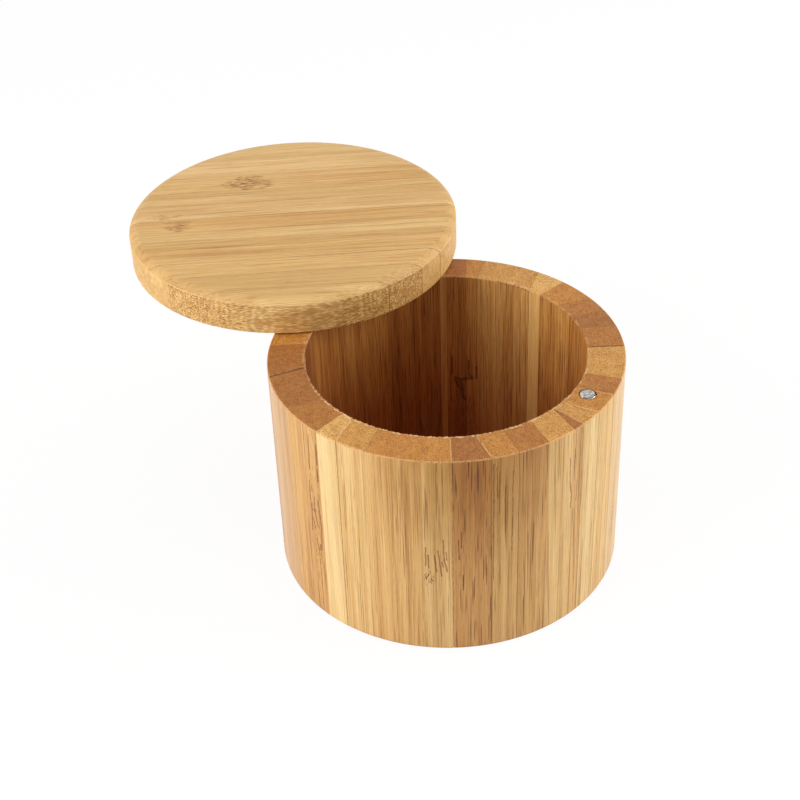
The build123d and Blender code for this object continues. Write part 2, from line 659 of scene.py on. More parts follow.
    def _cross_grain(self) -> object:
        """The colour where the surface cuts the fibres, which show as dots.

        Returns:
            The colour.
        """
        patch = self.noise(self.stretch(self.along, 1.1, 9.0), detail=3, roughness=0.6)
        colour = self.tinted(linear(self.wood.end.value), self.ramp(self.bands, 0.3, 0.7), self.END_BAND_TINT)
        colour = self.tinted(colour, self.ramp(patch, 0.52, 0.34, 0.0, 0.8), self.END_SHADE_TINT)
        colour = self.tinted(colour, self.ramp(patch, 0.50, 0.66, 0.0, 0.7), self.END_SHINE_TINT)
        dots = self._rods(self.along, 0.58, 0.31, 0.7)
        thick = self.noise(self.stretch(self.along, 2.4, 30.0), detail=1)
        share = self.times(dots, self.ramp(thick, 0.38, 0.58, 0.6, 1.0), self.wood.dots)
        return self.tinted(colour, share, self.DOT_TINT)

    def _knuckled(self) -> None:
        """Stain the knuckles, and draw the short slanting fibres in the heart of the tangled ones."""
        stain = tangle = None
        for knuckle, mask in zip(self.wood.knuckles, self.hearts):
            stain = self.most(stain, self.times(mask, knuckle.stain))
            if knuckle.tangle:
                tangle = self.most(tangle, self.times(self._slants(), mask, knuckle.tangle))
        self._tint(self.times(stain, self.ramp(self.lines, 0.60, 0.42, 0.35, 1.0)), self.STAIN_TINT)
        if tangle is not None:
            self._tint(tangle, self.FIBRE_TINT)

    def _slants(self) -> object:
        """Short fibres that slant across the grain.

        Returns:
            How much each point belongs to such a fibre.
        """
        share = None
        for slant in self.TANGLE_SLANTS:
            slanted = Euler((math.radians(slant), 0, 0)).to_matrix() @ self.turn
            place = self._laid(slanted, Vector((slant, 0, 0)))
            dashes = self.noise(self.stretch(place, 0.36, 3.2), detail=1)
            share = self.most(share, self.ramp(dashes, 0.57, 0.65))
        return share

    def _flecked(self) -> None:
        """Part the fibres on the upright faces into short pale dashes with dark wood between."""
        away = self.cells(self.stretch(self.fibres, 0.47, 2.3), "3D", 0.8).outputs["Distance"]
        upright = self.ramp(self.facing(), 0.5, 0.2, 0.0, self.wood.flecks)
        self._tint(self.times(self.ramp(away, 0.40, 0.62), upright), self.GAP_TINT)
        self._tint(self.times(self.ramp(away, 0.42, 0.24), upright), self.DASH_TINT)

    def _zone_shaded(self) -> None:
        """Paint brown shade on the upright faces round the zone, with a ragged border."""
        shade_zone = self.wood.shade_zone
        size = Vector((shade_zone.reach, shade_zone.reach, shade_zone.drop)) * MM
        offset = self.vector("SUBTRACT", self.place, tuple(shade_zone.place))
        away = self.length(self.vector("DIVIDE", offset, tuple(size)))
        ragged = self.ramp(self.noise(self.place, scale=110), 0.3, 0.7, -0.05, 0.05)
        mask = self.ramp(self.math("ADD", away, ragged), 1.0, 0.15, 0.0, shade_zone.amount)
        self._tint(self.times(mask, self.ramp(self.facing(), 0.85, 0.55)), self.ZONE_SHADE_TINT)

    def _cavity_shaded(self) -> None:
        """Paint shade on the cavity wall, darker towards the bottom, with streaks along the fibres."""
        _, rim, floor = self.wood.cavity
        wall = self.ramp(self.outward(), -0.75, -0.95)
        depth = self.ramp(self.parts(self.place)["Z"], rim, floor)
        tint = self.blend(depth, self.MOUTH_SHADE_TINT, self.FOOT_SHADE_TINT)
        self._tint(self.times(wall, self.wood.cavity_shade), tint)
        # Streaks of painted shade along the fibres of the cavity wall.
        runs = self.noise(self.stretch(self.fibres, 0.26, 14.0), roughness=0.6)
        self._tint(self.times(self.ramp(runs, 0.47, 0.39, 0.0, 0.75 * self.wood.cavity_shade), wall), self.RUN_SHADE_TINT)

    def _stroked(self) -> None:
        """Draw the dark strokes, each a little ragged."""
        shake = self.vector("SUBTRACT", self.noise(self.place, scale=520, output="Color"), (0.5, 0.5, 0.5))
        place = self.vector("ADD", self.place, self.scaled(shake, self.STROKE_SHAKE))
        share = None
        for stroke in self.wood.strokes:
            run = stroke.end - stroke.start
            offset = self.vector("SUBTRACT", place, tuple(stroke.start))
            passed = self.dot(offset, tuple(run / run.length_squared))
            foot = self.scaled(tuple(run), self.math("ADD", passed, 0.0, clamp=True))
            away = self.length(self.vector("SUBTRACT", offset, foot))
            mark = self.ramp(away, stroke.width * MM, 0.15 * stroke.width * MM, 0.0, stroke.share)
            share = self.most(share, mark)
        self._tint(share, self.STROKE_TINT)

    def _seat_shaded(self) -> None:
        """Paint shade in a ring round the seat of a magnet, where its gap is."""
        offset = self.vector("SUBTRACT", self.place, tuple(self.wood.seat))
        away = self.length(self.vector("MULTIPLY", offset, self.FLAT))
        self._tint(self.ramp(away, *self.SEAT_SHADE_RING, 0.0, 0.6), self.SEAT_SHADE_TINT)

    def _worn_and_highlit(self) -> None:
        """Lighten the edge between the side and the top: wear from handling, and a painted highlight."""
        rise, top = self.facing(), self.wood.worn_highlight_to
        share = self.times(self.ramp(rise, 0.08, 0.28), self.ramp(rise, top, top - 0.16))
        if self.wood.cavity is not None:
            share = self.times(share, self.ramp(self.outward(), -0.1, 0.1, 0.2))
        share = self.times(share, self.ramp(self.lines, 0.35, 0.6, 0.15, 0.55))
        self.colour = self.blend(share, self.colour, linear(self.HANDLED_HIGHLIT_WOOD))

    def _torn(self) -> None:
        """Whiten the torn fibres along the edge of the mouth, most of all at the front."""
        radius, rim, _ = self.wood.cavity
        wide = self.wood.ragged
        away = self.length(self.vector("MULTIPLY", self.place, self.FLAT))
        ragged = self.noise(self.place, scale=1500)
        reach = self.ramp(ragged, 0.34, 0.62, radius + 0.28 * MM, radius + 0.78 * wide * MM)
        parts = self.parts(self.place)
        high = self.math("GREATER_THAN", parts["Z"], rim - 0.20 * MM)
        torn = self.times(self.math("LESS_THAN", away, reach), high)
        patchy = self.ramp(self.noise(self.place, scale=420), 0.40, 0.56, 0.12, 0.85)
        front = self.ramp(parts["Y"], 0.0, self.FRONT, min(0.3 * wide, 1.0), 1.0)
        self.colour = self.blend(self.times(torn, patchy, front), self.colour, linear(self.TORN_WOOD))


@dataclass(frozen=True)
class GlueLine:
    """The thread of glue that shows along a joint, and where the joint shuts tight, if it does."""

    glue: Glue
    shut: Vector | None = None

    DULL_TINT = (0.74, 0.70, 0.66, 1.0)
    SHUT_REACH = (24 * MM, 44 * MM)

    def material(self, name: str) -> bpy.types.Material:
        """Make the glue.

        Args:
            name: The material's name.

        Returns:
            The material.
        """
        graph = Surface(name)
        top, side, _ = self.glue.value
        colour = graph.blend(graph.ramp(graph.facing(), 0.3, 0.8), linear(side), linear(top))
        if self.shut is not None:
            away = graph.length(graph.vector("SUBTRACT", graph.place, tuple(self.shut)))
            colour = graph.blend(graph.ramp(away, *self.SHUT_REACH), linear(Glue.TIGHT.value[1]), colour)
        patch = graph.noise(graph.place, scale=900, detail=3)
        colour = graph.tinted(colour, graph.ramp(patch, 0.35, 0.65), self.DULL_TINT)
        return graph.finish(colour, graph.ramp(patch, 0.3, 0.7, 0.35, 0.55), patch, 0.02 * MM)


@dataclass(frozen=True)
class Metal:
    """Plated, ground or turned metal with the small scuffs of use, and where asked a painted dark reflection
    on its rounded edge.
    """

    colour: Rgb
    shadow: Rgb
    roughness: float
    mottle: float
    scratches: float
    # How strong the painted dark reflection on the rounded edge is.
    dark_reflection: float = 0.0

    SCUFF_LIE = (900.0, 5200.0, 900.0)
    # The side of the rounded edge that gets the painted dark reflection, and its colour.
    DARK_REFLECTION_SIDE = (0.55, -0.83, 0)
    DARK_REFLECTION_COLOUR = (0.02, 0.015, 0.01, 1.0)

    def material(self, name: str) -> bpy.types.Material:
        """Make the metal.

        Args:
            name: The material's name.

        Returns:
            The material.
        """
        graph = Surface(name)
        cloud = graph.noise(graph.place, scale=self.mottle, detail=3, roughness=0.6)
        scuffs = graph.noise(graph.vector("MULTIPLY", graph.place, self.SCUFF_LIE), detail=3)
        share = graph.times(graph.ramp(cloud, 0.35, 0.68), 0.9)
        colour = graph.blend(share, linear(self.colour), linear(self.shadow))
        # A painted dark reflection on the part of the rounded edge that faces this side.
        if self.dark_reflection:
            facing = graph.facing(self.DARK_REFLECTION_SIDE)
            turned = graph.times(graph.ramp(facing, 0.04, 0.16), graph.ramp(facing, 0.62, 0.48))
            colour = graph.blend(graph.times(turned, self.dark_reflection), colour, self.DARK_REFLECTION_COLOUR)
        worn = graph.math("ADD", graph.ramp(cloud, 0.3, 0.7, self.roughness, self.roughness + 0.14),
                          graph.times(scuffs, 0.08))
        graph.feed(graph.shader, Metallic=1.0)
        return graph.finish(colour, worn, scuffs, self.scratches * MM)


# --------------------------------------------------------------------------- bench tools


class Bench:
    """The hand tools: everything that picks, cuts, eases or joins a mesh goes through here."""

    SHARP = math.radians(32)
    NEAR = 0.002 * MM
    WELD = 0.0005 * MM
    DOUBLE = 0.0008 * MM
    STRAY = 0.004 * MM
    RING_CORNER = math.radians(30)
    JOINT_CORNER = math.radians(20)
    DRILL_SIDES = 96

    @staticmethod
    def clear() -> None:
        """Leave nothing selected."""
        if bpy.context.mode != "OBJECT":
            bpy.ops.object.mode_set(mode="OBJECT")
        bpy.ops.object.select_all(action="DESELECT")

    @classmethod
    def take(cls, piece: bpy.types.Object) -> None:
        """Put one piece on the bench.

        Args:
            piece: The piece.
        """
        cls.clear()
        piece.select_set(True)
        bpy.context.view_layer.objects.active = piece

    @classmethod
    def edit(cls, piece: bpy.types.Object, mode: str = "VERT") -> bmesh.types.BMesh:
        """Open a piece's mesh with nothing in it selected.

        Args:
            piece: The piece.
            mode: What is picked: VERT, EDGE or FACE.

        Returns:
            The open mesh, only for picking.
        """
        cls.take(piece)
        bpy.ops.object.mode_set(mode="EDIT")
        bpy.ops.mesh.select_mode(type=mode)
        bpy.ops.mesh.select_all(action="DESELECT")
        return bmesh.from_edit_mesh(piece.data)

    @staticmethod
    def pick(piece: bpy.types.Object, parts: Iterable, wanted: Callable[[object], bool]) -> int:
        """Select the parts of an open mesh that are wanted.

        Args:
            piece: The open piece.
            parts: Its vertices, edges or faces.
            wanted: Says which of them to pick.

        Returns:
            How many were picked.
        """
        count = 0
        mesh = bmesh.from_edit_mesh(piece.data)
        for part in parts:
            if wanted(part):
                part.select = True
                count += 1
        mesh.select_flush_mode()
        bmesh.update_edit_mesh(piece.data)
        return count

    @classmethod
    def close(cls) -> None:
        """Leave edit mode."""
        bpy.ops.object.mode_set(mode="OBJECT")

    @classmethod
    def settle(cls, piece: bpy.types.Object) -> bpy.types.Object:
        """Put a piece's place into its mesh, so that the object itself sits at the origin.

        Args:
            piece: The piece.

        Returns:
            The same piece.
        """
        cls.take(piece)
        bpy.ops.object.transform_apply(location=True, rotation=True, scale=True)
        return piece

    @classmethod
    def copy(cls, piece: bpy.types.Object, name: str) -> bpy.types.Object:
        """A copy with its own mesh.

        Args:
            piece: The piece to copy.
            name: The copy's name.

        Returns:
            The copy.
        """
        made = piece.copy()
        made.data = piece.data.copy()
        made.name = made.data.name = name
        bpy.context.scene.collection.objects.link(made)
        return made

    @classmethod
    def scrap(cls, piece: bpy.types.Object) -> None:
        """Throw a pattern piece away.

        Args:
            piece: The piece, which no other shares its mesh with.
        """
        mesh = piece.data
        bpy.data.objects.remove(piece)
        bpy.data.meshes.remove(mesh)

    @classmethod
    def disc(cls, name: str, radius: float, low: float, high: float, centre: Vector,
             sides: int) -> bpy.types.Object:
        """An upright round blank.

        Args:
            name: The piece's name.
            radius: Its radius.
            low: The height of its underside.
            high: The height of its top.
            centre: Its axis in plan.
            sides: How many sides stand for the circle.

        Returns:
            The blank, with its place in its mesh.
        """
        cls.clear()
        bpy.ops.mesh.primitive_cylinder_add(
            vertices=sides, radius=radius, depth=high - low, end_fill_type="NGON",
            location=(centre.x, centre.y, (low + high) / 2))
        piece = bpy.context.active_object
        piece.name = piece.data.name = name
        return cls.settle(piece)

    @classmethod
    def ease_ring(cls, piece: bpy.types.Object, height: float, width: float, segments: int,
                  profile: float = 0.5) -> None:
        """Round over the edges that lie at one height.

        Args:
            piece: The piece.
            height: Where the edges lie.
            width: How wide the round is.
            segments: How many facets it has.
            profile: How full it is; 0.5 is an arc.
        """
        mesh = cls.edit(piece, "EDGE")
        cls.pick(piece, mesh.edges, lambda edge: edge.is_manifold
                 and edge.calc_face_angle(0) > cls.RING_CORNER
                 and all(abs(vertex.co.z - height) < cls.NEAR for vertex in edge.verts))
        bpy.ops.mesh.bevel(offset=width, segments=segments, profile=profile, affect="EDGES")
        cls.close()

    @classmethod
    def saw(cls, piece: bpy.types.Object, point: Vector, away: Vector) -> None:
        """Saw a piece through and throw the offcut away.

        Args:
            piece: The piece.
            point: A point on the cut.
            away: The direction of the offcut.
        """
        cls.edit(piece)
        bpy.ops.mesh.select_all(action="SELECT")
        bpy.ops.mesh.bisect(plane_co=point, plane_no=away, use_fill=True, clear_outer=True,
                            threshold=cls.WELD)
        cls.close()

    @classmethod
    def arris(cls, piece: bpy.types.Object, point: Vector, normal: Vector, width: float,
              finish: int) -> None:
        """Break the sharp edges round a glued face, and give them the glue line's finish.

        Args:
            piece: The piece.
            point: A point on the glued face.
            normal: The face's normal.
            width: How wide the broken edge is.
            finish: The material's place on the piece.
        """
        mesh = cls.edit(piece, "EDGE")
        cls.pick(piece, mesh.edges, lambda edge: edge.is_manifold
                 and edge.calc_face_angle(0) > cls.JOINT_CORNER
                 and all(abs((vertex.co - point).dot(normal)) < cls.NEAR for vertex in edge.verts))
        bpy.ops.mesh.bevel(offset=width, segments=1, affect="EDGES", material=finish)
        cls.close()

    @classmethod
    def level(cls, piece: bpy.types.Object, height: float, side: int) -> None:
        """Sand down whatever stands past a height.

        Args:
            piece: The piece.
            height: Where it is sanded to.
            side: 1 where it is sanded from above, -1 from below.
        """
        mesh = cls.edit(piece)
        if cls.pick(piece, mesh.verts, lambda vertex: (vertex.co.z - height) * side > 0):
            bpy.ops.transform.resize(value=(1, 1, 0), center_override=(0, 0, height))
        cls.close()

    @classmethod
    def trim(cls, piece: bpy.types.Object, inner: float, outer: float) -> None:
        """Pull back each corner that a broken edge pushed past the inside or the outside of the wall.

        Args:
            piece: The piece.
            inner: The wall's inner radius.
            outer: Its outer radius.
        """
        strays = [vertex.co.copy() for vertex in piece.data.vertices
                  if not inner - cls.STRAY < plan(vertex.co).length < outer + cls.STRAY]
        for place in strays:
            mesh = cls.edit(piece)
            cls.pick(piece, mesh.verts, lambda vertex: (vertex.co - place).length < cls.STRAY)
            share = min(max(plan(place).length, inner), outer) / plan(place).length
            bpy.ops.transform.resize(value=(share, share, 1), center_override=(0, 0, 0))
            cls.close()

    @classmethod
    def bore(cls, piece: bpy.types.Object, radius: float, low: float, high: float,
             centre: Vector) -> None:
        """Drill an upright hole.

        Args:
            piece: The piece.
            radius: The hole's radius.
            low: The height of its bottom.
            high: The height of its top.
            centre: Its axis in plan.
        """
        drill = cls.disc("drill", radius, low, high, centre, cls.DRILL_SIDES)
        cls.take(piece)
        bpy.ops.object.modifier_add(type="BOOLEAN")
        cut = piece.modifiers[-1]
        cut.operation, cut.solver, cut.object = "DIFFERENCE", "EXACT", drill
        bpy.ops.object.modifier_apply(modifier=cut.name)
        cls.scrap(drill)

    @classmethod
    def sand(cls, piece: bpy.types.Object) -> None:
        """Merge what doubled, turn every face outward and shade the soft edges smooth.

        Args:
            piece: The piece.
        """
        cls.edit(piece)
        bpy.ops.mesh.select_all(action="SELECT")
        bpy.ops.mesh.remove_doubles(threshold=cls.DOUBLE)
        bpy.ops.mesh.normals_make_consistent(inside=False)
        if bmesh.from_edit_mesh(piece.data).calc_volume(signed=True) < 0:
            bpy.ops.mesh.flip_normals()
        cls.close()
        cls.take(piece)
        bpy.ops.object.shade_smooth_by_angle(angle=cls.SHARP)

    @classmethod
    def fit(cls, piece: bpy.types.Object, node: str, body: str, slot: str,
            finishes: list[bpy.types.Material]) -> None:
        """Dress a finished piece and put it in the place of its solid.

        Args:
            piece: The finished piece.
            node: The solid it stands for.
            body: The body it moves with.
            slot: Not used.
            finishes: Its materials.
        """
        slots = piece.data.materials
        for place, finish in enumerate(finishes):
            if place < len(slots):
                slots[place] = finish
            else:
                slots.append(finish)
        cls.clear()
        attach(piece, body)
        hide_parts(node)
        LOG.info("%s: %d faces on %s", piece.name, len(piece.data.polygons), body)


def plan(vector: Vector) -> Vector:
    """A vector's shadow on the ground."""
    return Vector((vector.x, vector.y, 0))


def centre_of(node: str) -> Vector:
    """The middle of a node's box."""
    low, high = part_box(node)
    return (low + high) / 2


def nodes_named(start: str) -> list[str]:
    """The nodes whose names start this way, in order."""
    return sorted(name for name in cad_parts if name.startswith(start))


# --------------------------------------------------------------------------- the glued wall


class Grain(Enum):
    """How a plank's fibres read: their lean in degrees, streaks, veins, fine lines and spacing in mm."""

    LONG = (0.4, 0.60, 0.55, 0.55, 0.58)
    EVEN = (0.6, 0.66, 0.45, 0.55, 0.52)
    BOLD = (0.6, 0.85, 0.60, 0.60, 0.50)
    SHORT = (1.8, 0.95, 0.40, 0.60, 0.44)
    PLAIN = (0.5, 0.38, 0.25, 0.45, 0.66)


@dataclass(frozen=True)
class Plank:
    """What a stave is picked for."""

    tone: Tone
    end: End
    grain: Grain = Grain.EVEN
    # How strong the painted shade on the stave's cavity wall is.
    cavity_shade: float = 1.0


@dataclass
class StaveWall:
    """The round wall: a ring of staves, drilled for the pivot pin and the catch magnet.

    A mark on the wall is placed by its angle round the box in degrees and its height in
    millimetres. KNUCKLES adds the sizes of each knuckle, and SPLITS and DARK_FIBRES run from one
    angle and height to another and end with a width in millimetres.
    """

    body: str = "box"
    slot: str = "bamboo_wall"
    seed: int = 100
    rim_ease: float = 0.5 * MM
    mouth_ease: float = 0.4 * MM
    foot_ease: float = 0.7 * MM
    mouth_depth: float = 1.2 * MM
    mouth_width: float = 0.9 * MM
    step: float = math.radians(0.3)
    widest: float = math.radians(24)
    pin_clearance: float = 0.02 * MM
    magnet_clearance: float = 0.12 * MM
    bore_overrun: float = 2 * MM
    bore_margin: float = 4 * MM
    fray_reach: float = 0.05 * MM
    tear_reach: float = 0.17 * MM
    tear_share: float = 0.22
    tear_rise: float = 0.15 * MM
    names: list[str] = field(default_factory=lambda: nodes_named("stave_"))

    NEAR = 0.01 * MM

    # A plank's fourth value is how strong the painted shade on its cavity wall is.
    PLANKS = (
        Plank(Tone.CHESTNUT, End.WARM), Plank(Tone.RUSSET, End.DEEP, Grain.BOLD, 0.9),
        Plank(Tone.TAN, End.WARM, Grain.BOLD, 0.9), Plank(Tone.TAN, End.MIDDLE, Grain.BOLD, 0.95),
        Plank(Tone.GOLD, End.PALE, Grain.PLAIN, 0.2), Plank(Tone.HONEY, End.LIGHT, Grain.BOLD, 0.72),
        Plank(Tone.HONEY, End.LIGHT, Grain.EVEN, 0.65), Plank(Tone.CHESTNUT, End.MIDDLE, Grain.EVEN, 0.8),
        Plank(Tone.RUSSET, End.DEEP), Plank(Tone.TAN, End.LIGHT, Grain.PLAIN, 0.6),
        Plank(Tone.RUSSET, End.DEEP), Plank(Tone.RUSSET, End.WARM),
        Plank(Tone.TAN, End.MIDDLE), Plank(Tone.TAN, End.LIGHT), Plank(Tone.CHESTNUT, End.MIDDLE),
        Plank(Tone.CHESTNUT, End.WARM), Plank(Tone.UMBER, End.MIDDLE), Plank(Tone.COCOA, End.DEEP),
        Plank(Tone.ROSE, End.DEEP), Plank(Tone.BLUSH, End.DEEP, Grain.PLAIN),
        Plank(Tone.ROSE, End.DEEP, Grain.PLAIN), Plank(Tone.TAN, End.WARM, Grain.LONG),
        Plank(Tone.TAN, End.WARM, Grain.BOLD), Plank(Tone.CREAM, End.PALE, Grain.PLAIN),
        Plank(Tone.STRAW, End.LIGHT, Grain.LONG), Plank(Tone.HONEY, End.MIDDLE, Grain.LONG),
        Plank(Tone.HONEY, End.MIDDLE), Plank(Tone.STRAW, End.MIDDLE),
        Plank(Tone.CHESTNUT, End.DEEP, Grain.SHORT), Plank(Tone.HONEY, End.MIDDLE),
        Plank(Tone.TAN, End.WARM, Grain.BOLD), Plank(Tone.STRAW, End.LIGHT, Grain.LONG),
        Plank(Tone.HONEY, End.DEEP, Grain.BOLD), Plank(Tone.CREAM, End.LIGHT, Grain.LONG),
        Plank(Tone.STRAW, End.MIDDLE), Plank(Tone.SAND, End.WARM, Grain.PLAIN),
        Plank(Tone.IVORY, End.LIGHT, Grain.PLAIN), Plank(Tone.CREAM, End.LIGHT),
    )
    GLUES = {
        6: Glue.HAIR, 20: Glue.GAP, 31: Glue.HAIR, 1: Glue.DARK,
        25: Glue.PALE, 29: Glue.PALE, 30: Glue.SPLIT, 34: Glue.PALE, 35: Glue.PALE, 36: Glue.PALE,
    }
    KNUCKLES = {
        19: ((186.0, 20.0, 2.5, 6.0, 0.3, 0.3, 0.3),),
        23: ((221.0, 30.0, 2.6, 22.0, 0.30, 0.40),),
        28: ((261.3, 24.0, 1.9, 3.6, 0.5, 0.2, 1.0),),
        36: ((337.0, 16.0, 2.5, 8.0, 0.3, 0.2, 0.3),),
    }
    SPLIT_STAVES = (8, 9)
    SPLIT_STAIN = (81.5, 15.0, 4.0, 12.0, 0.3, 0.5)
    SPLITS = (
        (85.2, 33.0, 85.3, 27.5, 0.5), (84.0, 26.1, 80.3, 25.6, 0.6), (80.3, 25.6, 76.1, 26.4, 0.8),
        (83.9, 26.1, 83.1, 24.3, 0.8), (83.1, 24.3, 81.2, 22.4, 0.8), (81.2, 22.4, 79.7, 18.8, 0.7),
        (81.6, 25.6, 80.3, 21.9, 0.7), (77.7, 32.0, 77.9, 27.5, 0.5), (77.9, 27.5, 76.3, 26.4, 0.7),
        (73.9, 30.0, 73.9, 26.6, 0.7),
    )
    DARK_FIBRES = {
        23: ((220.7, 56.4, 220.0, 46.0, 0.31), (219.6, 42.3, 219.2, 36.9, 0.31),
             (219.2, 36.9, 219.7, 33.0, 0.37), (219.7, 33.0, 219.2, 26.4, 0.31),
             (224.0, 54.9, 223.9, 48.8, 0.31), (223.8, 47.3, 223.7, 43.5, 0.37),
             (223.0, 37.4, 223.4, 33.5, 0.37), (223.4, 33.5, 223.8, 28.5, 0.37),
             (223.8, 28.5, 223.1, 21.7, 0.31), (221.2, 37.8, 221.1, 33.0, 0.31),
             (221.1, 33.0, 222.3, 28.8, 0.31), (220.0, 30.6, 220.7, 27.7, 0.31),
             (219.7, 33.6, 221.3, 33.1, 0.37), (221.0, 24.6, 221.9, 19.5, 0.25)),
        28: ((263.3, 30.9, 263.6, 28.7, 0.28), (263.6, 28.7, 264.0, 25.6, 0.31),
             (264.5, 32.2, 264.9, 29.4, 0.28), (264.9, 29.4, 265.5, 24.3, 0.31),
             (266.1, 35.7, 266.3, 30.0, 0.25), (266.3, 30.0, 267.3, 25.6, 0.31),
             (267.0, 31.9, 267.2, 29.4, 0.25), (261.5, 30.8, 261.5, 26.7, 0.31),
             (260.7, 33.0, 260.7, 27.3, 0.28), (265.7, 28.8, 266.0, 27.2, 0.25)),
        29: ((271.7, 37.7, 271.7, 33.0, 0.25), (270.8, 35.6, 271.0, 29.3, 0.25),
             (272.1, 24.5, 272.0, 19.6, 0.25)),
        30: ((281.6, 57.0, 281.6, 40.0, 0.24), (281.5, 40.0, 281.6, 22.0, 0.20),
             (282.6, 56.0, 282.7, 47.0, 0.18), (283.5, 55.0, 283.4, 42.0, 0.18),
             (285.2, 50.0, 285.3, 36.0, 0.16), (287.6, 54.0, 287.5, 30.0, 0.16)),
        32: ((308.2, 51.1, 308.3, 43.9, 0.25), (308.3, 43.9, 309.1, 40.5, 0.31),
             (309.1, 40.5, 308.9, 35.9, 0.25)),
        33: ((310.1, 53.4, 310.0, 47.0, 0.19), (311.4, 43.3, 311.3, 37.1, 0.19)),
    }
    # Painted brown shade under the rim at the front: angle, height, reach, drop and amount.
    SHADE_ZONE = (276.0, 64.0, 27.0, 52.0, 0.94)
    ROUGH_STAVE = 6
    FRONT_STAVES = range(19, 36)

    def __post_init__(self) -> None:
        """Read the wall's sizes from the frame."""
        boxes = [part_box(name) for name in self.names]
        self.outer_radius = max(high.x for _, high in boxes)
        self.height = max(high.z for _, high in boxes)
        shown = [vertex.co for name in self.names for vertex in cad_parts[name].data.vertices]
        self.inner_radius = min(plan(place).length for place in shown)
        self.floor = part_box("base_strip_3")[1].z
        self.seat_radius = min(plan(place).length for place in shown if place.z < self.floor / 2)
        self.magnet = plan(centre_of("rim_magnet"))

    def joint_lines(self, name: str) -> list[tuple[Vector, Vector]]:
        """Find a stave's two glued faces from its solid.

        Args:
            name: The stave.

        Returns:
            For each face a point on it and the direction that leaves the stave there.
        """
        places = [vertex.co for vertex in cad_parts[name].data.vertices]
        middle = plan(centre_of(name))
        heading = math.atan2(middle.y, middle.x)

        def turn(place: Vector) -> float:
            """How far round from the stave's middle a place lies."""
            angle = math.atan2(place.y, place.x) - heading
            return (angle + math.pi) % math.tau - math.pi

        outer, inner = ([turn(place) for place in places if abs(plan(place).length - radius) < self.NEAR]
                        for radius in (self.outer_radius, self.inner_radius))
        lines = []
        for side, choose in ((-1, min), (1, max)):
            far = Matrix.Rotation(heading + choose(outer), 3, "Z") @ Vector((self.outer_radius, 0, 0))
            close = Matrix.Rotation(heading + choose(inner), 3, "Z") @ Vector((self.inner_radius, 0, 0))
            away = Vector((close.y - far.y, far.x - close.x, 0)).normalized() * side
            lines.append((far, away))
        return lines

    def section(self) -> bpy.types.Object:
        """The wall's section, upright over the X axis, eased and rebated.

        Returns:
            The section, as a flat piece.
        """
        Bench.clear()
        bpy.ops.mesh.primitive_plane_add(size=1.0, rotation=(math.pi / 2, 0, 0))
        piece = bpy.context.active_object
        piece.scale = (self.outer_radius - self.inner_radius, self.height, 1)
        piece.location = ((self.outer_radius + self.inner_radius) / 2, 0, self.height / 2)
        Bench.settle(piece)
        corners = (
            (self.outer_radius, 0.0, self.foot_ease, 6),
            (self.outer_radius, self.height, self.rim_ease, 6),
            (self.inner_radius, self.height, self.mouth_ease, 5),
        )
        for radius, height, ease, segments in corners:
            mesh = Bench.edit(piece)
            Bench.pick(piece, mesh.verts, lambda vertex: abs(vertex.co.x - radius) < self.NEAR
                       and abs(vertex.co.z - height) < self.NEAR)
            bpy.ops.mesh.bevel(offset=ease, offset_type="OFFSET", segments=segments, affect="VERTICES")
            Bench.close()
        Bench.edit(piece)
        cuts = (
            (Vector((0, 0, self.floor)), Vector((0, 0, 1))),
            (Vector((self.seat_radius, 0, 0)), Vector((1, 0, 0))),
            (Vector((0, 0, self.height - self.mouth_depth)), Vector((0, 0, 1))),
            (Vector((self.inner_radius + self.mouth_width, 0, 0)), Vector((1, 0, 0))),
        )
        for point, normal in cuts:
            bpy.ops.mesh.select_all(action="SELECT")
            bpy.ops.mesh.bisect(plane_co=point, plane_no=normal, threshold=Bench.WELD)
        Bench.close()
        mesh = Bench.edit(piece, "FACE")
        Bench.pick(piece, mesh.faces, lambda face: face.calc_center_median().x < self.seat_radius
                   and face.calc_center_median().z < self.floor)
        bpy.ops.mesh.delete(type="FACE")
        Bench.close()
        return piece

    def blank(self) -> bpy.types.Object:
        """A stretch of the wall, wider than any stave, spun from the section.

        Returns:
            The blank, with the X axis through its middle.
        """
        piece = self.section()
        Bench.edit(piece)
        bpy.ops.mesh.select_all(action="SELECT")
        bpy.ops.mesh.spin(steps=round(self.widest / self.step), angle=self.widest, center=(0, 0, 0),
                          axis=(0, 0, 1))
        bpy.ops.mesh.select_all(action="SELECT")
        bpy.ops.mesh.remove_doubles(threshold=Bench.WELD)
        bpy.ops.mesh.normals_make_consistent(inside=False)
        Bench.close()
        low = min(math.atan2(vertex.co.y, vertex.co.x) for vertex in piece.data.vertices)
        piece.rotation_euler.z = -low - self.widest / 2
        return Bench.settle(piece)

